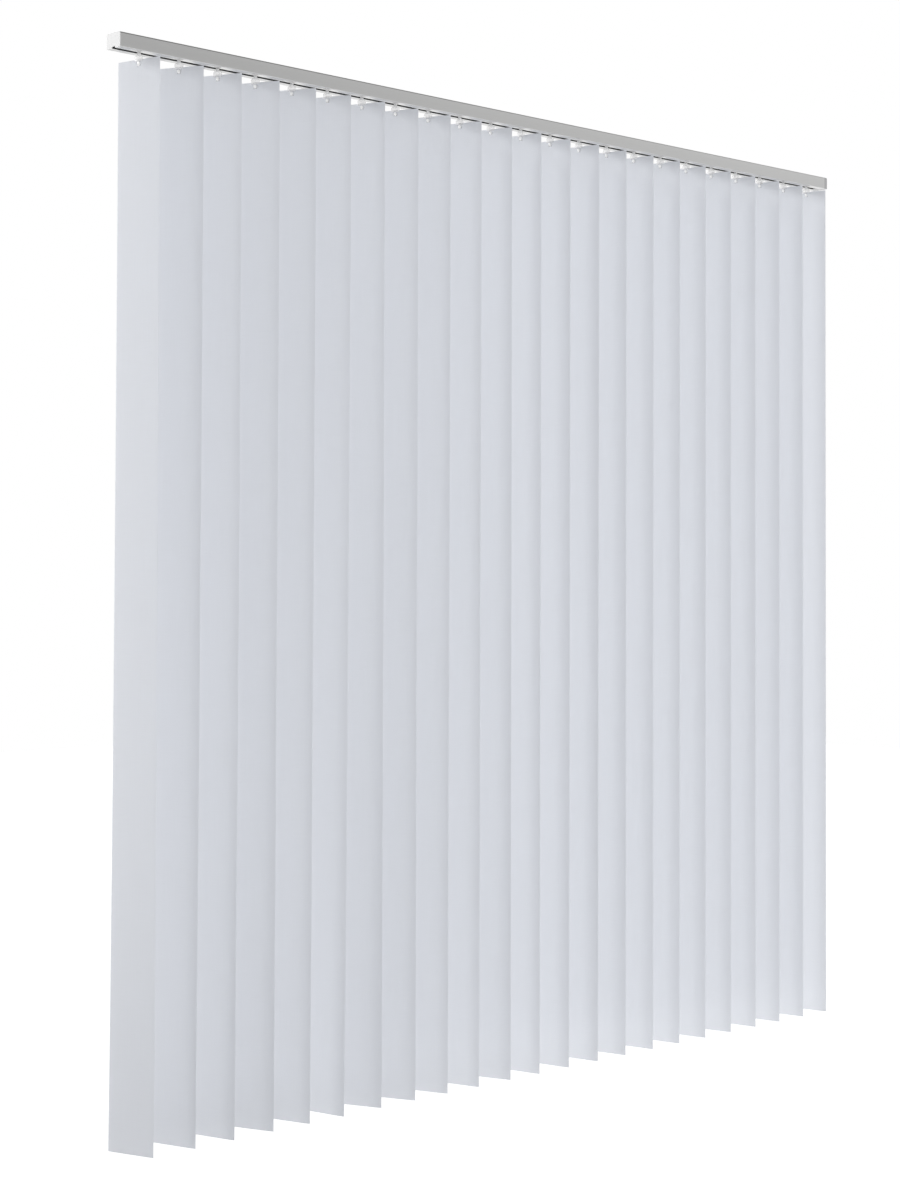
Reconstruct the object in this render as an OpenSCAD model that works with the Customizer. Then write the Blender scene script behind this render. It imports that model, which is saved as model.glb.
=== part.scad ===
// Vertical blind for a ceiling, with its controls at the right end.
// Millimetres. The origin is the middle of the ceiling plane, on top of the clips.
// +X runs right along the rail, -Y faces the viewer and +Z is up.

/* [Main sizes] */
// Number of slats
slat_count = 23; // [4:1:23]
// From stem to stem, drawn across
slat_pitch = 80; // [72:1:86]
// Width of one slat
slat_w = 89; // [80:1:100]
// Thickness of the fabric
slat_t = 0.5; // [0.4:0.05:0.6]
// From the ceiling to the foot of the slats
drop = 1800; // [600:50:2600]
// From each end of the blind to the nearest stem
end_margin = 50; // [49:1:80]
// Angle between the slats and the rail at rest
rest_angle = 72; // [12:1:168]

/* [Head rail] */
// Depth of the rail, front to back
rail_d = 36; // [36:0.5:42]
// Height of the rail
rail_h = 25; // [25:0.5:30]
// Wall of the extrusion
rail_wall = 1.3; // [1.1:0.1:1.4]
// Width of the slot in the underside
slot_w = 9; // [8.4:0.2:9.6]
// Radius of the top edges
top_round = 3.5; // [2:0.25:4]
// Radius of the bottom edges
foot_round = 1.2; // [0.6:0.1:1.2]

/* [Carriers] */
// Length of one carrier
car_l = 16.6; // [16:0.1:17]
// Radius of the carrier's rollers
wheel_r = 3.2; // [2.8:0.1:3.2]
// Teeth on the stem's gear
gear_teeth = 12; // [9:1:14]
// Thickness of a spacer strip
strip_t = 0.3; // [0.2:0.05:0.35]

/* [Stems] */
// Gap between the rail and the top of the slats
slat_gap = 10; // [8:0.5:16]
// Radius of the stem's shaft
shaft_r = 3; // [2.6:0.1:3.2]
// Width of the shoulder over the slat
shoulder_w = 15; // [11:0.5:16]
// Radius of the barb through the slat
barb_r = 3; // [2:0.1:3.2]

/* [Controls and clips] */
// Radius of the tilt rod
rod_r = 3; // [2.6:0.1:3]
// Thickness of the idle cap's plate
idle_t = 1.6; // [1.2:0.1:3]
// Thickness of the control cap without its cover
control_t = 7.6; // [7.6:0.2:10]
// Thickness of the control cap's cover
cover_t = 1.4; // [1:0.1:2]
// Distance between the outer ceiling clips
clip_span = 1400; // [300:50:1600]
// Radius of the screw hole in a clip
clip_hole_r = 2.25; // [1.6:0.05:3]

/* [Hidden] */
$fn = 48;

// Running and fixed fits
run_fit = 0.08;
fixed_fit = 0.15;
room_fit = 0.35;

// Rail levels and widths
clip_t = 1.5;
blind_l = (slat_count - 1) * slat_pitch + 2 * end_margin;
rail_x0 = -blind_l / 2 + idle_t;
rail_x1 = blind_l / 2 - control_t - cover_t;
rail_top = -clip_t;
rail_bot = rail_top - rail_h;
lip_top = rail_bot + rail_wall;
roof = rail_top - rail_wall;
room_w = rail_d - 2 * rail_wall;
rib_t = 1.2;
rib_h = 1.6;

// Clip channel in the top of the rail
mouth_w = 13;
chan_w = 20;
chan_h = 3.2;
web_t = 1.2;
web_bot = roof - chan_h - web_t;

// Carrier levels
base_bot = lip_top + rib_h + 0.4;
pocket_bot = base_bot + 3.7;
gear_h = 5.6;
gear_bot = pocket_bot + 0.3;
gear_top = gear_bot + gear_h;
pocket_top = gear_top + 0.3;
car_top = web_bot - 0.8;
base_w = 18.4;

// Stem gear and worm
gear_tip = 5;
gear_root = 3.9;
pin_r = 2;
pocket_r = gear_tip + room_fit;
sleeve_r = rod_r + 1;
rod_y = pocket_r + sleeve_r + 0.05;
rod_z = (gear_bot + gear_top) / 2;
worm_room_r = sleeve_r + 0.9;
worm_room_l = car_l - 4.6;
housing_front = -6.6;
housing_back = rod_y + worm_room_r + 0.9;

// Carrier rollers
wheel_t = 3.2;
wheel_y = base_w / 2 + 0.4 + wheel_t / 2;
wheel_x = 4.2;
wheel_z = lip_top + 0.2 + wheel_r;
stub_r = 1.4;
stub_out = 0.6;

// Spacer strips and their window
wing_front = -14.4;
wing_bot = lip_top + 7;
window_y0 = wing_front + 1.2;
window_y1 = housing_front - 1.2;
window_z0 = wing_bot + 1.2;
window_h = 5.4;
strip_w = 4;
strip_back = 4;
strip_run = strip_back + slat_pitch + car_l / 2 + 1.5;
strip_rise = 3.2;
strip_sink = 0.15;
tab_h = 1.4;

// Draw cord paths
cord_r = 1.2;
cord_z = car_top - 1.8;
cord_front = -12;
cord_back = -4;

// Stem and slat levels
slat_top = rail_bot - slat_gap;
slat_foot = -drop;
head_top = rail_bot - 2.5;
shoulder_top = head_top - slat_gap * 0.3;
head_t = 4.4;
neck_w = 8;
hang_fit = 0.2;
hole_gap = 0.3;
barb_drop = 6.5;
barb_out = 1.2;
slit = slat_t / 2 + 0.1;
prong_t = 1.6;
prong_w = 9;
prong_l = 13;
lip_t = 1.2;
lip_l = 3.2;

// End caps
plug_wall = 1.6;
plug_foot = slot_w / 2 + rib_t + 0.5;
idle_plug_l = 22;
control_plug_l = 16;
boss_r = rod_r + 2;
slot_stop = 11;
pulley_r = (cord_front - cord_back) / -2;
pulley_y = (cord_front + cord_back) / 2;
pulley_rim = pulley_r + 1;
pulley_h = 3.6;
pulley_x = rail_x0 + 13;
pulley_pin_r = 1.5;
shelf_t = 2.4;
shelf_top = cord_z - pulley_h / 2 - 0.3;
roller_r = 2.5;
roller_rim = roller_r + 0.7;
roller_w = 4.4;
roller_pin_r = 1;
roller_x = rail_x1 + 4.2;
roller_z = cord_z - roller_r;
beads = 7;
bead_r = 1.6;
bead_pitch = 4.5;
chain_r = bead_pitch / 2 / sin(180 / beads);
chain_rim = chain_r + 1;
chain_t = 5;
chain_x = rail_x1 + 1.9;
chain_room_r = chain_r + bead_r + 0.3;

// Node names
function two(i) = i < 10 ? str("0", i) : str(i);
function carrier_name(i) = str("carrier_", two(i));
function slat_name(i) = str("slat_", two(i));
function clip_name(i) = str("ceiling_clip_", i);
function stem_x(i) = -blind_l / 2 + end_margin + (i - 1) * slat_pitch;
function clip_x(i) = (i - 2) * clip_span / 2;

FIXED = [
    "head_rail", "idle_cap", "return_pulley", "return_pin", "control_body", "control_cover",
    "chain_wheel", "draw_roller_front", "draw_roller_back", "draw_pin", "tilt_rod"
];

// Shared shapes
module block(low, high) {
    translate(low) cube(high - low);
}

module along_x(x, length) {
    translate([x, 0, 0]) rotate([90, 0, 90]) linear_extrude(length) children();
}

module bar_x(x0, x1, y, z, r) {
    translate([x0, y, z]) rotate([0, 90, 0]) cylinder(h = x1 - x0, r = r);
}

module bar_y(x, y0, y1, z, r) {
    translate([x, y0, z]) rotate([-90, 0, 0]) cylinder(h = y1 - y0, r = r);
}

module arch(width, low, high, r) {
    translate([-width / 2, low]) square([width, high - low - r]);
    translate([-width / 2 + r, low]) square([width - 2 * r, high - low]);
    for (side = [-1, 1]) {
        translate([side * (width / 2 - r), high - r]) circle(r);
    }
}

// Head rail
module rail_outline() {
    difference() {
        arch(rail_d, rail_bot, rail_top, top_round);
        for (side = [-1, 1]) {
            difference() {
                translate([side * rail_d / 2, rail_bot]) square(2 * foot_round, center = true);
                translate([side * (rail_d / 2 - foot_round), rail_bot + foot_round]) circle(foot_round);
            }
        }
    }
}

module rail_section() {
    difference() {
        rail_outline();
        arch(room_w, lip_top, roof, top_round - rail_wall);
        translate([-slot_w / 2, rail_bot - 1]) square([slot_w, rail_wall + 2]);
        translate([-mouth_w / 2, roof - 1]) square([mouth_w, rail_wall + 2]);
    }
    translate([-chan_w / 2 - web_t, web_bot]) square([chan_w + 2 * web_t, web_t]);
    for (side = [-1, 1]) {
        translate([side * (chan_w + web_t) / 2 - web_t / 2, web_bot]) {
            square([web_t, roof + 0.5 - web_bot]);
        }
        translate([side * (slot_w + rib_t) / 2 - rib_t / 2, rail_bot + 0.5]) {
            square([rib_t, rail_wall + rib_h - 0.5]);
        }
    }
}

module head_rail() {
    color([0.70, 0.71, 0.72])
    along_x(rail_x0, rail_x1 - rail_x0) rail_section();
}

// Ceiling clips of folded spring steel
module ceiling_clip(i) {
    plate_l = 26;
    plate_w = 20;
    leg_l = 18;
    leg_t = 1;
    leg_y = mouth_w / 2 - 0.4;
    barb_top = roof - 0.3;
    barb_bot = barb_top - 1;
    barb_l = 2.4;
    color([0.62, 0.63, 0.65])
    translate([clip_x(i), 0, 0])
    difference() {
        union() {
            block([-plate_l / 2, -plate_w / 2, rail_top], [plate_l / 2, plate_w / 2, 0]);
            for (side = [-1, 1]) {
                scale([1, side, 1]) {
                    block([-leg_l / 2, leg_y - leg_t, barb_bot], [leg_l / 2, leg_y, rail_top + 0.5]);
                    block([-leg_l / 2, leg_y - leg_t, barb_bot], [leg_l / 2, leg_y + barb_l, barb_top]);
                }
            }
        }
        translate([0, 0, rail_top - 1]) cylinder(h = clip_t + 2, r = clip_hole_r);
    }
}

// Plug that fits inside the end of the rail, open over the slot
module plug_section() {
    half = room_w / 2 - fixed_fit;
    low = lip_top + fixed_fit;
    high = web_bot - fixed_fit;
    difference() {
        translate([-half, low]) square([2 * half, high - low]);
        translate([-half + plug_wall, low + plug_wall]) {
            square([2 * (half - plug_wall), high - low - 2 * plug_wall]);
        }
        translate([-plug_foot, low - 1]) square([2 * plug_foot, plug_wall + 2]);
    }
}

// Left end: cap, rod bearing and return pulley
module idle_cap() {
    half = room_w / 2 - fixed_fit;
    end = -blind_l / 2;
    plug_x = rail_x0 + idle_plug_l;
    color([0.84, 0.84, 0.85])
    difference() {
        union() {
            along_x(end, idle_t) rail_outline();
            difference() {
                along_x(rail_x0 - 0.2, idle_plug_l + 0.2) plug_section();
                block([pulley_x - pulley_rim - 1, -half - 1, shelf_top], [plug_x + 1, 2, web_bot + 1]);
            }
            block([rail_x0 - 0.2, -half + 0.5, shelf_top - shelf_t], [plug_x, 2, shelf_top]);
            bar_x(rail_x0 - 0.2, plug_x - 4, rod_y, rod_z, boss_r);
        }
        block([end - 1, -slot_w / 2, rail_bot - 1], [rail_x0 + 1, slot_w / 2, lip_top + rib_h]);
        bar_x(rail_x0 + 0.4, plug_x, rod_y, rod_z, rod_r + run_fit);
        translate([pulley_x, pulley_y, shelf_top - shelf_t - 1]) {
            cylinder(h = shelf_t + 2, r = pulley_pin_r + 0.02);
        }
    }
}

module return_pin() {
    color([0.66, 0.67, 0.69])
    translate([pulley_x, pulley_y, shelf_top - shelf_t]) {
        cylinder(h = web_bot - 0.3 - shelf_top + shelf_t, r = pulley_pin_r);
    }
}

// Grooved wheel about its own axis
module grooved_wheel(rim, groove_r, cord, height, bore) {
    rotate_extrude()
    difference() {
        translate([bore, -height / 2]) square([rim - bore, height]);
        translate([groove_r + cord, 0]) circle(cord);
        translate([groove_r + cord, -cord]) square([rim, 2 * cord]);
    }
}

module return_pulley() {
    color([0.90, 0.90, 0.88])
    translate([pulley_x, pulley_y, cord_z]) {
        grooved_wheel(pulley_rim, pulley_r - cord_r, cord_r, pulley_h, pulley_pin_r + run_fit);
    }
}

// Right end: control body with its cover, chain wheel and draw rollers
module control_body() {
    half_slot = slot_w / 2 - fixed_fit;
    room_y0 = cord_front - roller_w / 2 - 0.3;
    room_y1 = cord_back + roller_w / 2 + 0.3;
    room_x = rail_x1 + 1;
    far = rail_x1 + control_t;
    color([0.72, 0.73, 0.74])
    difference() {
        union() {
            along_x(rail_x1, control_t) rail_outline();
            along_x(rail_x1 - control_plug_l, control_plug_l + 0.2) plug_section();
            bar_x(rail_x1 - control_plug_l + 3, rail_x1 + 0.2, rod_y, rod_z, boss_r);
            block([rail_x1 - slot_stop, -half_slot, rail_bot], [rail_x1 + 0.2, half_slot, lip_top + rib_h]);
        }
        bar_x(rail_x1 - control_plug_l, far, rod_y, rod_z, rod_r + run_fit);
        bar_x(chain_x - 0.5, far + 1, rod_y, rod_z, chain_room_r);
        block([room_x, room_y0, roller_z - roller_rim - 0.4], [far + 1, room_y1, cord_z + 1.6]);
        bar_y(roller_x, room_y0 - 1.2, room_y1 + 1.2, roller_z, roller_pin_r + 0.02);
        for (y = [cord_front, cord_back]) {
            bar_x(rail_x1 - 1, far, y, cord_z, cord_r);
            translate([roller_x + roller_r, y, rail_bot - 1]) {
                cylinder(h = roller_z - rail_bot + 1, r = cord_r);
            }
        }
        for (side = [-1, 1]) {
            translate([chain_x + chain_t / 2, rod_y + side * chain_r, rail_bot - 1]) {
                cylinder(h = rod_z - rail_bot + 1, r = bead_r + 0.3);
            }
        }
    }
}

module control_cover() {
    color([0.72, 0.73, 0.74])
    along_x(rail_x1 + control_t, cover_t) rail_outline();
}

module chain_wheel() {
    color([0.92, 0.92, 0.90])
    translate([chain_x, rod_y, rod_z]) rotate([0, 90, 0])
    difference() {
        cylinder(h = chain_t, r = chain_rim);
        translate([0, 0, -1]) cylinder(h = chain_t + 2, r = rod_r + 0.02);
        for (i = [0:beads - 1]) {
            rotate(i * 360 / beads) translate([chain_r, 0, chain_t / 2 - bead_r]) {
                cylinder(h = 2 * bead_r, r = bead_r + 0.1);
            }
        }
    }
}

module draw_roller(y) {
    color([0.92, 0.92, 0.90])
    translate([roller_x, y, roller_z]) rotate([90, 0, 0]) {
        grooved_wheel(roller_rim, roller_r - cord_r / 2, cord_r, roller_w, roller_pin_r + run_fit);
    }
}

module draw_pin() {
    y0 = cord_front - roller_w / 2 - 1.4;
    y1 = cord_back + roller_w / 2 + 1.4;
    color([0.66, 0.67, 0.69])
    bar_y(roller_x, y0, y1, roller_z, roller_pin_r);
}

// Tilt rod with three key grooves
module tilt_rod() {
    groove_r = 0.8;
    x0 = rail_x0 + 0.8;
    x1 = chain_x + chain_t - 0.3;
    color([0.78, 0.78, 0.79])
    translate([x0, rod_y, rod_z]) rotate([90, 0, 90])
    linear_extrude(x1 - x0)
    difference() {
        circle(rod_r);
        for (i = [0:2]) {
            rotate(90 + i * 120) translate([rod_r + 0.1, 0]) circle(groove_r);
        }
    }
}

// Carriers
module carrier_blank() {
    half = car_l / 2;
    block([-half, -base_w / 2, base_bot], [half, base_w / 2, pocket_bot]);
    block([-half, housing_front, base_bot], [half, housing_back, car_top]);
    block([-half, wing_front, wing_bot], [half, housing_front + 0.5, car_top]);
    for (x = [-wheel_x, wheel_x]) {
        bar_y(x, -wheel_y - wheel_t / 2 - stub_out, wheel_y + wheel_t / 2 + stub_out, wheel_z, stub_r);
        for (side = [-1, 1]) {
            bar_y(x, side * wheel_y - wheel_t / 2, side * wheel_y + wheel_t / 2, wheel_z, wheel_r);
        }
    }
}

module spacer_strip() {
    slope = strip_rise / strip_run;
    low = window_z0 - strip_t - strip_sink;
    tip = low + strip_rise;
    translate([0, (window_y0 + window_y1 + strip_w) / 2, 0])
    rotate([90, 0, 0])
    linear_extrude(strip_w)
    polygon([
        [strip_back, low],
        [strip_back, low + strip_t],
        [strip_back - strip_run + strip_t, tip + strip_t - strip_t * slope],
        [strip_back - strip_run + strip_t, tip + strip_t + tab_h],
        [strip_back - strip_run, tip + strip_t + tab_h],
        [strip_back - strip_run, tip]
    ]);
}

module carrier(i) {
    color([0.90, 0.90, 0.88])
    translate([stem_x(i), 0, 0]) {
        difference() {
            carrier_blank();
            translate([0, 0, pocket_bot]) cylinder(h = pocket_top - pocket_bot, r = pocket_r);
            difference() {
                bar_x(-worm_room_l / 2, worm_room_l / 2, rod_y, rod_z, worm_room_r);
                bar_x(-car_l, car_l, rod_y, rod_z, sleeve_r);
            }
            bar_x(-car_l, car_l, rod_y, rod_z, rod_r + 0.3);
            translate([0, 0, base_bot - 1]) cylinder(h = pocket_bot - base_bot + 2, r = shaft_r + run_fit);
            translate([0, 0, pocket_top - 1]) cylinder(h = car_top - pocket_top + 2, r = pin_r + run_fit);
            block([-car_l, window_y0, window_z0], [car_l, window_y1, window_z0 + window_h]);
            for (y = [cord_front, cord_back]) {
                bar_x(-car_l, car_l, y, cord_z, cord_r);
            }
        }
        if (i > 1) {
            spacer_strip();
        }
    }
}

// Slats with their stems
module gear_outline() {
    step = 360 / gear_teeth;
    polygon([
        for (k = [0:gear_teeth - 1])
        for (p = [[-0.36, gear_root], [-0.17, gear_tip], [0.17, gear_tip], [0.36, gear_root]])
        p[1] * [cos((k + p[0]) * step), sin((k + p[0]) * step)]
    ]);
}

module stem() {
    half = shoulder_w / 2;
    hole_z = slat_top - barb_drop;
    translate([0, 0, gear_top - 0.5]) cylinder(h = car_top - gear_top, r = pin_r);
    translate([0, 0, gear_bot]) linear_extrude(gear_h) gear_outline();
    translate([0, 0, head_top - 1]) cylinder(h = gear_bot - head_top + 1.5, r = shaft_r);
    translate([0, head_t / 2, 0]) rotate([90, 0, 0]) linear_extrude(head_t)
    polygon([
        [-neck_w / 2, head_top],
        [neck_w / 2, head_top],
        [half, shoulder_top],
        [half, slat_top],
        [-half, slat_top],
        [-half, shoulder_top]
    ]);
    block([-prong_w / 2, slit, slat_top - prong_l], [prong_w / 2, slit + prong_t, slat_top + 0.5]);
    block([-half, -slit - lip_t, slat_top - lip_l], [half, -slit, slat_top + 0.5]);
    bar_y(0, -slat_t / 2 - barb_out, slit + 0.5, hole_z, barb_r);
}

module vane() {
    difference() {
        block([-slat_w / 2, -slat_t / 2, slat_foot], [slat_w / 2, slat_t / 2, slat_top - hang_fit]);
        bar_y(0, -slat_t, slat_t, slat_top - barb_drop, barb_r + hole_gap);
    }
}

module slat(i) {
    translate([stem_x(i), 0, 0]) rotate(-rest_angle) {
        color([0.80, 0.81, 0.85]) vane();
        color([0.93, 0.94, 0.93]) stem();
    }
}

// Assembly
head_rail();
idle_cap();
return_pulley();
return_pin();
control_body();
control_cover();
chain_wheel();
draw_roller(cord_front);  // draw_roller_front
draw_roller(cord_back);  // draw_roller_back
draw_pin();
tilt_rod();
for (i = [1:3]) {
    ceiling_clip(i);
}
for (i = [1:slat_count]) {
    carrier(i);
    slat(i);
}
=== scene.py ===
import math
import random

import bmesh
import bpy
from mathutils import Matrix, Vector


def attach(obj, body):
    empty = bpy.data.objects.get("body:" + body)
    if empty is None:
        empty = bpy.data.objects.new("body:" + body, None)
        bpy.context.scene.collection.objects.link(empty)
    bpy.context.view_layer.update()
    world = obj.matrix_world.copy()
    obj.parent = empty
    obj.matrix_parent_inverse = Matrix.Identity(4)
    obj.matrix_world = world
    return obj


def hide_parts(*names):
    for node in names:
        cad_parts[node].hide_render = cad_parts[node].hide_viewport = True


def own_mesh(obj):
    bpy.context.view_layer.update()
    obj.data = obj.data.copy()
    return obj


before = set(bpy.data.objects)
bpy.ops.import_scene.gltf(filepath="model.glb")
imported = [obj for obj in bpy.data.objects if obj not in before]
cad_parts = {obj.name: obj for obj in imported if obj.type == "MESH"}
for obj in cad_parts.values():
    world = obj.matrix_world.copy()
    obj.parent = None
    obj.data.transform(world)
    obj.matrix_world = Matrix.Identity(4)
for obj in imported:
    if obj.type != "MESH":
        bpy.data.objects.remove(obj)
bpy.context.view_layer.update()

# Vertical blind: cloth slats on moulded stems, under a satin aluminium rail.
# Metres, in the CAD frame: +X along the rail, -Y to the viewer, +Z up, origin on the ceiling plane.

MM = 0.001

# Sizes shared with the CAD source
SLAT_COUNT = 23
SLAT_PITCH = 80 * MM
SLAT_WIDTH = 89 * MM
SLAT_THICK = 0.5 * MM
SLAT_TOP = -36.7 * MM
SLAT_FOOT = -1800 * MM
REST_ANGLE = math.radians(72)
# Degrees by which each slat stands off that angle, at its stem and at its foot, from the left
TURN_AT_STEM = (-5, 8.5, 6, 8.5, 8.5, 7, 5, 5, 4, 0, -2)
TURN_AT_FOOT = (0, 0, -3, 2, -1, -6, 5, 6, 3, -2, 1)
TURN_BEYOND = -5
TURN_PLAY = math.radians(0.7)
# How far the long edges curl back, in the slats up to EDGE_CURL_LAST and in the others
EDGE_CURL, EDGE_CURL_LESS, EDGE_CURL_PLAY = 1.6, 0.4, 0.3
EDGE_CURL_FIRST, EDGE_CURL_LAST = 2, 14
# How far the foot swings out of line, with more for the first slat, which has no neighbour on its left
FOOT_PLAY, FIRST_FOOT_CURL = 0.5, 4.5
# Powers of the distance from the stem: twist, edge curl and swing of the foot
TWIST_POWER, EDGE_POWER, FOOT_POWER = 1.5, 6, 4
HOLE_Z = -43 * MM
HOLE_R = 3.12 * MM
HOLE_INSET = 2.2 * MM
RAIL_X0 = -928.4 * MM
RAIL_X1 = 921 * MM
RAIL_TOP = -1.5 * MM
RAIL_BOT = -26.5 * MM
RAIL_HALF = 18 * MM
RAIL_WALL = 1.3 * MM
LIP_TOP = RAIL_BOT + RAIL_WALL
ROOF = RAIL_TOP - RAIL_WALL
# Half widths of the rail's section, from the slot to the web of the clip channel
SLOT_HALF, RIB_HALF, MOUTH_HALF, CHANNEL_HALF, WEB_HALF = (v * MM for v in (4.5, 5.7, 6.5, 10, 11.2))
RIB_HEIGHT = 1.6 * MM
CHANNEL_DEPTH = 3.2 * MM
WEB_DEPTH = 4.4 * MM
TOUCH = 1e-5

# Camera of the photograph, in pixels of its 900 by 1200 frame
PHOTO_W, PHOTO_H = 900, 1200
CAMERA_AT = Vector((-2.968, -2.936, -0.875))
CAMERA_TURN = math.radians(43.5)
CAMERA_RISE = math.radians(1.32)
CAMERA_ROLL = math.radians(0.17)
FOCAL_PX = 2212
CENTRE_UP_PX = 73.2

FLOOR_Z = -2.25


def slat_name(index):
    return f"slat_{index:02d}"


def stem_x(index):
    return (index - (SLAT_COUNT + 1) / 2) * SLAT_PITCH


# Shader node groups

def new_group(name, inputs, outputs):
    group = bpy.data.node_groups.new(name, "ShaderNodeTree")
    for label, kind, value in inputs:
        socket = group.interface.new_socket(label, in_out="INPUT", socket_type=kind)
        socket.default_value = value
    for label, kind in outputs:
        group.interface.new_socket(label, in_out="OUTPUT", socket_type=kind)
    return group, group.nodes.new("NodeGroupInput"), group.nodes.new("NodeGroupOutput")


def math_node(tree, operation, a, b):
    node = tree.nodes.new("ShaderNodeMath")
    node.operation = operation
    for socket, value in zip(node.inputs, (a, b)):
        if isinstance(value, (int, float)):
            socket.default_value = value
        else:
            tree.links.new(value, socket)
    return node.outputs[0]


def stretched_noise(tree, vector, stretch, scale, detail):
    mapping = tree.nodes.new("ShaderNodeMapping")
    mapping.inputs["Scale"].default_value = stretch
    tree.links.new(vector, mapping.inputs["Vector"])
    noise = tree.nodes.new("ShaderNodeTexNoise")
    noise.inputs["Scale"].default_value = scale
    noise.inputs["Detail"].default_value = detail
    tree.links.new(mapping.outputs["Vector"], noise.inputs["Vector"])
    return noise.outputs["Fac"]


def tinted(tree, colour, mask, spread):
    """colour times 1 plus or minus spread, as mask goes from 0 to 1."""
    swing = math_node(tree, "MULTIPLY_ADD", mask, 2.0)
    swing.node.inputs[2].default_value = -1.0
    factor = math_node(tree, "MULTIPLY", swing, spread)
    factor = math_node(tree, "ADD", factor, 1.0)
    node = tree.nodes.new("ShaderNodeVectorMath")
    node.operation = "SCALE"
    tree.links.new(colour, node.inputs[0])
    tree.links.new(factor, node.inputs["Scale"])
    return node.outputs[0]


def brushed_group():
    """Fine drawing lines along the rail, for the extruded and rolled metals."""
    group, gin, gout = new_group(
        "drawn_metal",
        [("Colour", "NodeSocketColor", (0.5, 0.5, 0.5, 1)), ("Spread", "NodeSocketFloat", 0.03),
         ("Roughness", "NodeSocketFloat", 0.35)],
        [("Colour", "NodeSocketColor"), ("Roughness", "NodeSocketFloat"), ("Height", "NodeSocketFloat")],
    )
    place = group.nodes.new("ShaderNodeTexCoord").outputs["Object"]
    lines = stretched_noise(group, place, (3, 900, 900), 1.0, 3)
    patches = stretched_noise(group, place, (2, 12, 12), 1.0, 2)
    both = math_node(group, "MULTIPLY", math_node(group, "ADD", lines, patches), 0.5)
    group.links.new(tinted(group, gin.outputs["Colour"], both, gin.outputs["Spread"]), gout.inputs["Colour"])
    rough = math_node(group, "MULTIPLY", math_node(group, "SUBTRACT", lines, 0.5), 0.12)
    group.links.new(math_node(group, "ADD", gin.outputs["Roughness"], rough), gout.inputs["Roughness"])
    group.links.new(lines, gout.inputs["Height"])
    return group


def moulded_group():
    """Faint mottling and spark-eroded grain of a moulded plastic."""
    group, gin, gout = new_group(
        "moulded_skin",
        [("Colour", "NodeSocketColor", (0.8, 0.8, 0.8, 1)), ("Spread", "NodeSocketFloat", 0.02),
         ("Roughness", "NodeSocketFloat", 0.45)],
        [("Colour", "NodeSocketColor"), ("Roughness", "NodeSocketFloat"), ("Height", "NodeSocketFloat")],
    )
    place = group.nodes.new("ShaderNodeTexCoord").outputs["Object"]
    grain = stretched_noise(group, place, (1, 1, 1), 2600, 2)
    cloud = stretched_noise(group, place, (1, 1, 1), 60, 3)
    group.links.new(tinted(group, gin.outputs["Colour"], cloud, gin.outputs["Spread"]), gout.inputs["Colour"])
    rough = math_node(group, "MULTIPLY", math_node(group, "SUBTRACT", cloud, 0.5), 0.15)
    group.links.new(math_node(group, "ADD", gin.outputs["Roughness"], rough), gout.inputs["Roughness"])
    group.links.new(grain, gout.inputs["Height"])
    return group


def weave_group():
    """Plain weave with slubs in warp and weft, on the cloth's own UV map in metres."""
    group, gin, gout = new_group(
        "stiffened_weave",
        [("Colour", "NodeSocketColor", (0.7, 0.7, 0.75, 1)), ("Spread", "NodeSocketFloat", 0.02),
         ("Thread", "NodeSocketFloat", 1300.0)],
        [("Colour", "NodeSocketColor"), ("Roughness", "NodeSocketFloat"), ("Height", "NodeSocketFloat")],
    )
    uv = group.nodes.new("ShaderNodeUVMap")
    uv.uv_map = "cloth"
    place = uv.outputs["UV"]
    split = group.nodes.new("ShaderNodeSeparateXYZ")
    group.links.new(place, split.inputs[0])
    along = math_node(group, "SINE", math_node(group, "MULTIPLY", split.outputs["X"], gin.outputs["Thread"]), 0.0)
    across = math_node(group, "SINE", math_node(group, "MULTIPLY", split.outputs["Y"], gin.outputs["Thread"]), 0.0)
    threads = math_node(group, "MULTIPLY", along, across)
    warp = stretched_noise(group, place, (700, 9, 1), 1.0, 3)
    weft = stretched_noise(group, place, (25, 900, 1), 1.0, 3)
    slub = math_node(group, "MULTIPLY", math_node(group, "ADD", warp, weft), 0.5)
    group.links.new(tinted(group, gin.outputs["Colour"], slub, gin.outputs["Spread"]), gout.inputs["Colour"])
    rough = math_node(group, "MULTIPLY", slub, 0.15)
    group.links.new(math_node(group, "ADD", rough, 0.78), gout.inputs["Roughness"])
    height = math_node(group, "MULTIPLY", threads, 0.35)
    group.links.new(math_node(group, "ADD", height, slub), gout.inputs["Height"])
    return group


DRAWN_METAL = brushed_group()
MOULDED_SKIN = moulded_group()
WEAVE = weave_group()


def finish_material(name, group, values, bump, distance, **plain):
    """A Principled material whose colour, roughness and bump come from a node group."""
    material = bpy.data.materials.new(name)
    material.use_nodes = True
    tree = material.node_tree
    shader = tree.nodes["Principled BSDF"]
    effect = tree.nodes.new("ShaderNodeGroup")
    effect.node_tree = group
    for label, value in values.items():
        effect.inputs[label].default_value = value
    tree.links.new(effect.outputs["Colour"], shader.inputs["Base Color"])
    tree.links.new(effect.outputs["Roughness"], shader.inputs["Roughness"])
    relief = tree.nodes.new("ShaderNodeBump")
    relief.inputs["Strength"].default_value = bump
    relief.inputs["Distance"].default_value = distance
    tree.links.new(effect.outputs["Height"], relief.inputs["Height"])
    tree.links.new(relief.outputs["Normal"], shader.inputs["Normal"])
    for label, value in plain.items():
        shader.inputs[label.replace("_", " ")].default_value = value
    return material


def metal(name, colour, spread, roughness):
    values = {"Colour": (*colour, 1), "Spread": spread, "Roughness": roughness}
    return finish_material(name, DRAWN_METAL, values, 0.12, 0.0002, Metallic=1.0, Anisotropic=0.35)


def plastic(name, colour, roughness, **plain):
    values = {"Colour": (*colour, 1), "Spread": 0.02, "Roughness": roughness}
    return finish_material(name, MOULDED_SKIN, values, 0.15, 0.0001, **plain)


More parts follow.
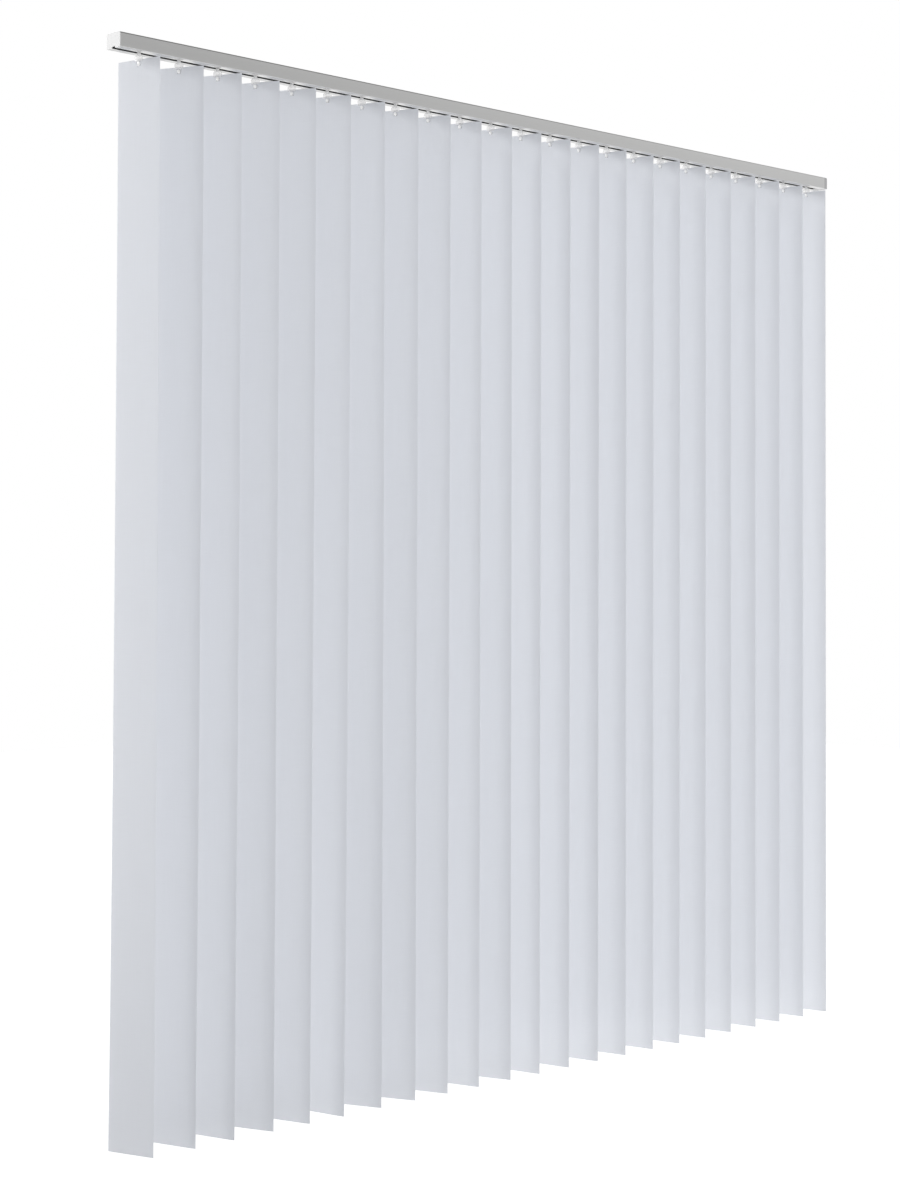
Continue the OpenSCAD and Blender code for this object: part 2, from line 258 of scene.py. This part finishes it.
RAIL_METAL = metal("satin_rail_metal", (0.66, 0.66, 0.655), 0.04, 0.32)
# Near-black metal for the inside of the rail: painted shade in the hollow behind the slot, where the aluminium is
# really as pale as outside
RAIL_INSIDE_PAINTED_SHADE = metal("rail_inside_painted_shade", (0.09, 0.09, 0.09), 0.06, 0.55)
ROD_METAL = metal("tilt_rod_metal", (0.62, 0.62, 0.63), 0.06, 0.35)
SPRING_STEEL = metal("spring_steel", (0.50, 0.51, 0.53), 0.08, 0.32)
IDLE_PLASTIC = plastic("idle_cap_plastic", (0.62, 0.62, 0.62), 0.42)
CONTROL_PLASTIC = plastic("control_cap_plastic", (0.45, 0.45, 0.455), 0.42)
CARRIER_PLASTIC = plastic("carrier_acetal", (0.80, 0.80, 0.78), 0.38)
WHEEL_PLASTIC = plastic("wheel_acetal", (0.84, 0.84, 0.82), 0.32)
STEM_PLASTIC = plastic("milky_stem_plastic", (0.98, 0.98, 0.98), 0.22)
WING_PLASTIC = plastic("clear_wing_plastic", (0.97, 0.965, 0.965), 0.3, Alpha=0.45)
SLAT_CLOTH = finish_material(
    "slat_cloth", WEAVE, {"Colour": (0.796, 0.808, 0.834, 1), "Spread": 0.035, "Thread": 5200.0},
    0.25, 0.0002, Sheen_Weight=0.12, Sheen_Roughness=0.6,
)


def let_light_through(material, share):
    """Mixes a translucent share into a cloth or a milky plastic, in its own colour."""
    tree = material.node_tree
    skin = next(node for node in tree.nodes if node.type == "GROUP")
    through = tree.nodes.new("ShaderNodeBsdfTranslucent")
    tree.links.new(skin.outputs["Colour"], through.inputs["Color"])
    mix = tree.nodes.new("ShaderNodeMixShader")
    mix.inputs[0].default_value = share
    tree.links.new(tree.nodes["Principled BSDF"].outputs[0], mix.inputs[1])
    tree.links.new(through.outputs[0], mix.inputs[2])
    tree.links.new(mix.outputs[0], tree.nodes["Material Output"].inputs["Surface"])


let_light_through(SLAT_CLOTH, 0.5)
let_light_through(STEM_PLASTIC, 0.3)

CAD_FINISH = {
    "idle_cap": IDLE_PLASTIC,
    "control_body": CONTROL_PLASTIC,
    "control_cover": CONTROL_PLASTIC,
    "return_pulley": WHEEL_PLASTIC,
    "chain_wheel": WHEEL_PLASTIC,
    "draw_roller_front": WHEEL_PLASTIC,
    "draw_roller_back": WHEEL_PLASTIC,
    "return_pin": SPRING_STEEL,
    "draw_pin": SPRING_STEEL,
    "tilt_rod": ROD_METAL,
}
for node_name, node_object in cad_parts.items():
    if node_name.startswith("carrier_"):
        finish = CARRIER_PLASTIC
    elif node_name.startswith("ceiling_clip_"):
        finish = SPRING_STEEL
    elif node_name in CAD_FINISH:
        finish = CAD_FINISH[node_name]
    else:
        continue
    node_object.data.materials.clear()
    node_object.data.materials.append(finish)


# Mesh helpers

def sharpen(bm, degrees):
    """Shade smooth, with a sharp line along every edge that turns more than degrees."""
    for face in bm.faces:
        face.smooth = True
    for edge in bm.edges:
        edge.smooth = len(edge.link_faces) == 2 and edge.calc_face_angle() < math.radians(degrees)


def add_piece(name, bm, material, body, slot, *nodes):
    mesh = bpy.data.meshes.new(name)
    bm.to_mesh(mesh)
    bm.free()
    mesh.materials.append(material)
    piece = bpy.data.objects.new(name, mesh)
    bpy.context.scene.collection.objects.link(piece)
    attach(piece, body)
    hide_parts(*nodes)
    return piece


def round_edges(bm, edges, radius, segments):
    bmesh.ops.bevel(
        bm, geom=edges, offset=radius, offset_type="OFFSET", affect="EDGES",
        segments=segments, profile=0.5, material=-1,
    )


def add_box(bm, low, high, radius):
    low, high = Vector(low) * MM, Vector(high) * MM
    size = high - low
    place = Matrix.Translation((low + high) / 2) @ Matrix.Diagonal((*size, 1))
    made = bmesh.ops.create_cube(bm, size=1, matrix=place)["verts"]
    edges = {edge for vert in made for edge in vert.link_edges}
    round_edges(bm, list(edges), radius * MM, 3)


def add_rod(bm, radius, z0, z1, segments=32):
    place = Matrix.Translation((0, 0, (z0 + z1) / 2 * MM))
    bmesh.ops.create_cone(
        bm, cap_ends=True, segments=segments, radius1=radius * MM, radius2=radius * MM,
        depth=(z1 - z0) * MM, matrix=place,
    )


# Head rail, drawn as one section and extruded

def make_rail():
    rib_top, web_top, web_bot = LIP_TOP + RIB_HEIGHT, ROOF - CHANNEL_DEPTH, ROOF - WEB_DEPTH
    inner = RAIL_HALF - RAIL_WALL
    right = [
        (SLOT_HALF, RAIL_BOT), (RAIL_HALF, RAIL_BOT), (RAIL_HALF, RAIL_TOP), (MOUTH_HALF, RAIL_TOP),
        (MOUTH_HALF, ROOF), (CHANNEL_HALF, ROOF), (CHANNEL_HALF, web_top),
    ]
    right_inside = [
        (WEB_HALF, web_bot), (WEB_HALF, ROOF), (inner, ROOF), (inner, LIP_TOP),
        (RIB_HALF, LIP_TOP), (RIB_HALF, rib_top), (SLOT_HALF, rib_top),
    ]
    left = [(-y, z) for y, z in reversed(right)]
    left_inside = [(-y, z) for y, z in reversed(right_inside)]
    section = right + left + left_inside + right_inside
    bm = bmesh.new()
    face = bm.faces.new([bm.verts.new((RAIL_X0, y, z)) for y, z in section])
    grown = bmesh.ops.extrude_face_region(bm, geom=[face], use_keep_orig=True)["geom"]
    moved = [item for item in grown if isinstance(item, bmesh.types.BMVert)]
    bmesh.ops.translate(bm, verts=moved, vec=(RAIL_X1 - RAIL_X0, 0, 0))

    def long_edges(y, z):
        spot = Vector((0, y, z))

        def lies_there(edge):
            ends = [vert.co for vert in edge.verts]
            along = abs(ends[0].x - ends[1].x) > 1
            return along and all((Vector((0, abs(p.y), p.z)) - spot).length < TOUCH for p in ends)

        return [edge for edge in bm.edges if lies_there(edge)]

    round_edges(bm, long_edges(RAIL_HALF, RAIL_TOP), 3.5 * MM, 8)
    round_edges(bm, long_edges(inner, ROOF), 2.2 * MM, 5)
    round_edges(bm, long_edges(RAIL_HALF, RAIL_BOT), 1.2 * MM, 4)
    bmesh.ops.recalc_face_normals(bm, faces=bm.faces)
    sharpen(bm, 30)
    # Faces inside the hollow, outside the clip channel, take the near-black metal: painted shade inside the rail
    for face in bm.faces:
        middle = face.calc_center_median()
        hollow = abs(middle.y) < inner + TOUCH and LIP_TOP - TOUCH < middle.z < ROOF + TOUCH
        in_channel = abs(middle.y) < CHANNEL_HALF + TOUCH and middle.z > web_top - TOUCH
        if hollow and not in_channel and abs(face.normal.x) < 0.5:
            face.material_index = 1
    rail = add_piece("rail_extrusion", bm, RAIL_METAL, "head_rail", "rail", "head_rail")
    rail.data.materials.append(RAIL_INSIDE_PAINTED_SHADE)


# Stems: pin, gear, shaft, shoulder, prong, lip and barb, in millimetres below the ceiling

PIN_R, PIN_Z = 2, (-14, -8.5)
GEAR_TEETH, GEAR_TIP, GEAR_ROOT, GEAR_Z = 12, 5, 3.9, (-19.2, -13.6)
SHAFT_R, SHAFT_Z = 3, (-29.4, -19)
SHOULDER = [(-4, -29), (4, -29), (7.5, -32), (7.5, -36.5), (-7.5, -36.5), (-7.5, -32)]
SHOULDER_FRONT, SHOULDER_DEPTH, SHOULDER_ROUND = -2.2, 4.4, 0.5
PRONG = (-4.5, 0.35, -49.5), (4.5, 1.95, -36), 0.5
LIP = (-7.5, -1.55, -39.7), (7.5, -0.35, -36), 0.4
BARB_R, BARB_DEPTH, BARB_OUT, BARB_ROUND = 3, 2.3, 0.3, 0.7


def add_gear(bm, teeth, tip, root, z0, z1):
    verts = bmesh.ops.create_circle(
        bm, cap_ends=True, segments=teeth * 4, radius=tip * MM, matrix=Matrix.Translation((0, 0, z0 * MM)),
    )["verts"]
    bm.verts.index_update()
    first = min(vert.index for vert in verts)
    for vert in verts:
        if (vert.index - first) % 4 < 2:
            vert.co.x *= root / tip
            vert.co.y *= root / tip
    disc = verts[0].link_faces[0]
    grown = bmesh.ops.extrude_face_region(bm, geom=[disc], use_keep_orig=True)["geom"]
    moved = [item for item in grown if isinstance(item, bmesh.types.BMVert)]
    bmesh.ops.translate(bm, verts=moved, vec=(0, 0, (z1 - z0) * MM))


def add_shoulder(bm):
    face = bm.faces.new([bm.verts.new((x * MM, SHOULDER_FRONT * MM, z * MM)) for x, z in SHOULDER])
    grown = bmesh.ops.extrude_face_region(bm, geom=[face], use_keep_orig=True)["geom"]
    moved = [item for item in grown if isinstance(item, bmesh.types.BMVert)]
    bmesh.ops.translate(bm, verts=moved, vec=(0, SHOULDER_DEPTH * MM, 0))
    far_faces = [item for item in grown if isinstance(item, bmesh.types.BMFace)]
    edges = {edge for item in far_faces for edge in item.edges} | set(face.edges)
    round_edges(bm, list(edges), SHOULDER_ROUND * MM, 3)


def add_barb(bm):
    turn = Matrix.Translation((0, 0, HOLE_Z)) @ Matrix.Rotation(math.radians(90), 4, "X")
    barb = bmesh.ops.create_cone(
        bm, cap_ends=True, segments=32, radius1=BARB_R * MM, radius2=BARB_R * MM, depth=BARB_DEPTH * MM,
        matrix=turn @ Matrix.Translation((0, 0, BARB_OUT * MM)),
    )["verts"]
    front = min(vert.co.y for vert in barb)
    rim = {edge for vert in barb for edge in vert.link_edges
           if all(v.co.y < front + 1e-6 for v in edge.verts)}
    round_edges(bm, list(rim), BARB_ROUND * MM, 4)


def stem_mesh():
    bm = bmesh.new()
    add_rod(bm, PIN_R, *PIN_Z, 24)
    add_gear(bm, GEAR_TEETH, GEAR_TIP, GEAR_ROOT, *GEAR_Z)
    add_rod(bm, SHAFT_R, *SHAFT_Z)
    add_barb(bm)
    milky = set(bm.faces)
    add_shoulder(bm)
    add_box(bm, *PRONG)
    add_box(bm, *LIP)
    for face in bm.faces:
        face.material_index = 0 if face in milky else 1
    bmesh.ops.recalc_face_normals(bm, faces=bm.faces)
    sharpen(bm, 35)
    mesh = bpy.data.meshes.new("stem_pattern")
    bm.to_mesh(mesh)
    bm.free()
    return mesh


# Cloth slats, each cut flat, pierced for its barb and hung with a little play

COLUMNS = [v * MM for v in (-44.5, -42, -38.5, -33, -25, -14, -5.5, 5.5, 14, 25, 33, 38.5, 42, 44.5)]
HEAD_ROWS = [v * MM for v in (0, 0.8, 11.8)]
FALL_ROWS = 44


def cloth_rows():
    length = SLAT_TOP - SLAT_FOOT
    start = HEAD_ROWS[-1]
    fall = [start + (length - start) * k / FALL_ROWS for k in range(1, FALL_ROWS + 1)]
    return [SLAT_TOP - depth for depth in HEAD_ROWS + fall]


def turn_of(index, turns):
    return math.radians(turns[index - 1] if index <= len(turns) else TURN_BEYOND)


def slat_play(index):
    """Twist from stem to foot, the curl of the long edges and the swing of the foot of one slat."""
    draw = random.Random(100 + index)
    twist = turn_of(index, TURN_AT_FOOT) - turn_of(index, TURN_AT_STEM) + draw.uniform(-TURN_PLAY, TURN_PLAY)
    edge = EDGE_CURL if EDGE_CURL_FIRST <= index <= EDGE_CURL_LAST else EDGE_CURL_LESS
    edge = (draw.uniform(-EDGE_CURL_PLAY, EDGE_CURL_PLAY) - edge) * MM
    foot = draw.uniform(-FOOT_PLAY, FOOT_PLAY) * MM - (FIRST_FOOT_CURL * MM if index == 1 else 0)
    return twist, edge, foot


def make_cloth(index):
    rows = cloth_rows()
    bm = bmesh.new()
    bmesh.ops.create_grid(bm, x_segments=len(COLUMNS) - 1, y_segments=len(rows) - 1, size=0.5)
    half = max(vert.co.x for vert in bm.verts)
    for vert in bm.verts:
        column = round((vert.co.x / half + 1) / 2 * (len(COLUMNS) - 1))
        row = round((1 - vert.co.y / half) / 2 * (len(rows) - 1))
        vert.co = (COLUMNS[column], 0, rows[row])
    centre = Vector((0, 0, HOLE_Z))
    cell = min(bm.faces, key=lambda face: (face.calc_center_median() - centre).length)
    bmesh.ops.inset_individual(bm, faces=[cell], thickness=HOLE_INSET, depth=0)
    bmesh.ops.subdivide_edges(bm, edges=list(cell.edges), cuts=5)
    hole = min(bm.faces, key=lambda face: (face.calc_center_median() - centre).length)
    for vert in hole.verts:
        vert.co = centre + (vert.co - centre).normalized() * HOLE_R
    bmesh.ops.delete(bm, geom=[hole], context="FACES_ONLY")
    bmesh.ops.recalc_face_normals(bm, faces=bm.faces)
    bmesh.ops.solidify(bm, geom=bm.faces[:], thickness=SLAT_THICK)
    middle = (min(vert.co.y for vert in bm.verts) + max(vert.co.y for vert in bm.verts)) / 2
    bmesh.ops.translate(bm, verts=bm.verts, vec=(0, -middle, 0))

    layer = bm.loops.layers.uv.new("cloth")
    for face in bm.faces:
        for loop in face.loops:
            loop[layer].uv = (loop.vert.co.x + index, loop.vert.co.z)

    twist, edge, foot = slat_play(index)
    for vert in bm.verts:
        depth = max(0.0, (SLAT_TOP - vert.co.z) / (SLAT_TOP - SLAT_FOOT))
        across = vert.co.x / (SLAT_WIDTH / 2)
        turn = twist * depth ** TWIST_POWER
        x, y = vert.co.x, vert.co.y - edge * across ** EDGE_POWER
        vert.co.x = x * math.cos(turn) - y * math.sin(turn)
        vert.co.y = x * math.sin(turn) + y * math.cos(turn) + foot * depth ** FOOT_POWER
    bmesh.ops.recalc_face_normals(bm, faces=bm.faces)
    sharpen(bm, 40)
    bmesh.ops.transform(bm, matrix=station(index), verts=bm.verts)
    body = slat_name(index)
    return add_piece(f"slat_cloth_{index:02d}", bm, SLAT_CLOTH, body, "slat", body)


def station(index):
    """From one slat's own frame to its place under the rail."""
    angle = turn_of(index, TURN_AT_STEM) - REST_ANGLE
    return Matrix.Translation((stem_x(index), 0, 0)) @ Matrix.Rotation(angle, 4, "Z")


def make_stem(index, pattern):
    bm = bmesh.new()
    bm.from_mesh(pattern)
    bmesh.ops.transform(bm, matrix=station(index), verts=bm.verts)
    body = slat_name(index)
    stem = add_piece(f"stem_{index:02d}", bm, STEM_PLASTIC, body, "wheel", body)
    stem.data.materials.append(WING_PLASTIC)
    return stem


def press_into_line(cloth):
    """Gives the cloth its own copy of its mesh."""
    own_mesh(cloth)


make_rail()
pattern = stem_mesh()
for number in range(1, SLAT_COUNT + 1):
    stem = make_stem(number, pattern)
    cloth = make_cloth(number)
    press_into_line(cloth)
bpy.data.meshes.remove(pattern)


# Camera

def make_camera():
    data = bpy.data.cameras.new("photo_camera")
    data.sensor_fit = "AUTO"
    data.sensor_width = 36
    data.lens = 36 * FOCAL_PX / PHOTO_H
    data.shift_y = -CENTRE_UP_PX / PHOTO_H
    data.clip_end = 100
    camera = bpy.data.objects.new("photo_camera", data)
    aim = Matrix.Rotation(-CAMERA_TURN, 4, "Z") @ Matrix.Rotation(math.radians(90) + CAMERA_RISE, 4, "X")
    camera.matrix_world = Matrix.Translation(CAMERA_AT) @ aim @ Matrix.Rotation(CAMERA_ROLL, 4, "Z")
    bpy.context.scene.collection.objects.link(camera)
    bpy.context.scene.camera = camera


make_camera()


# Studio: a pale floor, a pale room and one soft far light from behind on the left

FLOOR_SIZE = 12
FLOOR_PAINT = 0.9
FLOOR_SPAN = 1.8
# Glow of the floor towards the slats, and as the camera sees it
FLOOR_LEFT = 0.4
FLOOR_RIGHT = 0.38
FLOOR_SEEN = 0.36
# A pool of shade by the left end, which darkens the feet of the first slats
SHADE_AT = (-1.4, -0.1, FLOOR_Z)
SHADE_NEAR, SHADE_FAR = 0.3, 1.1
# Levels of the room, then of what the metal mirrors
FRONT_LIGHT = 0.86
BACK_LIGHT = 1.4
LEFT_SHADE = 0.3
OVERHEAD = 0.45
FRONT_GREY = 0.44
BACK_GREY = 0.5
OVERHEAD_GREY = 0.18
FAR_LIGHT_FROM = (-0.735, 0.645, 0.38)
FAR_LIGHT_SPREAD = 20
FAR_LIGHT_STRENGTH = 1.85


def blend(tree, share, a, b):
    """a where share is 0, b where it is 1."""
    rest = math_node(tree, "MULTIPLY", math_node(tree, "SUBTRACT", 1.0, share), a)
    return math_node(tree, "ADD", rest, math_node(tree, "MULTIPLY", share, b))


def ramp(tree, value, low, high, at_low, at_high):
    node = tree.nodes.new("ShaderNodeMapRange")
    node.interpolation_type = "SMOOTHSTEP"
    for label, number in (("From Min", low), ("From Max", high), ("To Min", at_low), ("To Max", at_high)):
        node.inputs[label].default_value = number
    tree.links.new(value, node.inputs["Value"])
    return node.outputs["Result"]


def make_floor():
    """Pale floor that is clear from below, so that the underside of the rail can be looked at."""
    bm = bmesh.new()
    level = Matrix.Translation((0, 0, FLOOR_Z))
    bmesh.ops.create_grid(bm, x_segments=1, y_segments=1, size=FLOOR_SIZE, matrix=level)
    mesh = bpy.data.meshes.new("studio_floor")
    bm.to_mesh(mesh)
    bm.free()
    floor = bpy.data.objects.new("studio_floor", mesh)
    bpy.context.scene.collection.objects.link(floor)
    material = bpy.data.materials.new("floor_paint")
    material.use_nodes = True
    tree = material.node_tree
    tree.nodes.remove(tree.nodes["Principled BSDF"])
    paint = tree.nodes.new("ShaderNodeBsdfDiffuse")
    glow = tree.nodes.new("ShaderNodeEmission")
    seen = tree.nodes.new("ShaderNodeLightPath").outputs["Is Camera Ray"]
    place = tree.nodes.new("ShaderNodeTexCoord").outputs["Object"]
    split = tree.nodes.new("ShaderNodeSeparateXYZ")
    tree.links.new(place, split.inputs[0])
    lit = ramp(tree, split.outputs["X"], -FLOOR_SPAN, FLOOR_SPAN, FLOOR_LEFT, FLOOR_RIGHT)
    reach = tree.nodes.new("ShaderNodeVectorMath")
    reach.operation = "DISTANCE"
    tree.links.new(place, reach.inputs[0])
    reach.inputs[1].default_value = SHADE_AT
    pool = ramp(tree, reach.outputs["Value"], SHADE_NEAR, SHADE_FAR, 0.0, 1.0)
    lit = math_node(tree, "MULTIPLY", lit, pool)
    tree.links.new(blend(tree, seen, lit, FLOOR_SEEN), glow.inputs["Strength"])
    tone = math_node(tree, "MULTIPLY", pool, FLOOR_PAINT)
    tree.links.new(blend(tree, seen, tone, FLOOR_PAINT), paint.inputs["Color"])
    both = tree.nodes.new("ShaderNodeAddShader")
    tree.links.new(paint.outputs[0], both.inputs[0])
    tree.links.new(glow.outputs[0], both.inputs[1])
    clear = tree.nodes.new("ShaderNodeBsdfTransparent")
    sides = tree.nodes.new("ShaderNodeMixShader")
    tree.links.new(tree.nodes.new("ShaderNodeNewGeometry").outputs["Backfacing"], sides.inputs[0])
    tree.links.new(both.outputs[0], sides.inputs[1])
    tree.links.new(clear.outputs[0], sides.inputs[2])
    tree.links.new(sides.outputs[0], tree.nodes["Material Output"].inputs["Surface"])
    mesh.materials.append(material)


def make_world():
    """A pale room, dimmer to the left and overhead.

    Metal mirrors a room that is grey in front, behind and overhead. The camera sees a white backdrop, also through
    clear plastic.
    """
    world = bpy.data.worlds.new("studio_room")
    bpy.context.scene.world = world
    world.use_nodes = True
    tree = world.node_tree
    room = tree.nodes["Background"]
    room.inputs["Color"].default_value = (1, 1, 1, 1)
    split = tree.nodes.new("ShaderNodeSeparateXYZ")
    tree.links.new(tree.nodes.new("ShaderNodeTexCoord").outputs["Generated"], split.inputs[0])

    def along(axis, *bounds_and_levels):
        return ramp(tree, split.outputs[axis], *bounds_and_levels)

    level = along("Y", -1.0, 0.9, FRONT_LIGHT, BACK_LIGHT)
    level = math_node(tree, "MULTIPLY", level, along("X", -1.0, -0.4, LEFT_SHADE, 1.0))
    level = math_node(tree, "MULTIPLY", level, along("Z", 0.25, 0.8, 1.0, OVERHEAD))
    mirrored = along("Y", -0.95, -0.38, FRONT_GREY, 1.0)
    mirrored = math_node(tree, "MULTIPLY", mirrored, along("Y", 0.2, 0.9, 1.0, BACK_GREY))
    mirrored = math_node(tree, "MULTIPLY", mirrored, along("Z", 0.4, 0.75, 1.0, OVERHEAD_GREY))
    path = tree.nodes.new("ShaderNodeLightPath")
    level = blend(tree, path.outputs["Is Glossy Ray"], level, mirrored)
    straight = math_node(tree, "MAXIMUM", path.outputs["Is Camera Ray"], path.outputs["Is Transmission Ray"])
    level = blend(tree, straight, level, 1.0)
    tree.links.new(level, room.inputs["Strength"])


def add_far_light(name, towards, spread, strength):
    data = bpy.data.lights.new(name, "SUN")
    data.angle = math.radians(spread)
    data.energy = strength
    lamp = bpy.data.objects.new(name, data)
    lamp.matrix_world = (-Vector(towards)).to_track_quat("-Z", "Y").to_matrix().to_4x4()
    bpy.context.scene.collection.objects.link(lamp)


make_floor()
make_world()
add_far_light("back_left_light", FAR_LIGHT_FROM, FAR_LIGHT_SPREAD, FAR_LIGHT_STRENGTH)

scene = bpy.context.scene
scene.view_settings.view_transform = "Standard"
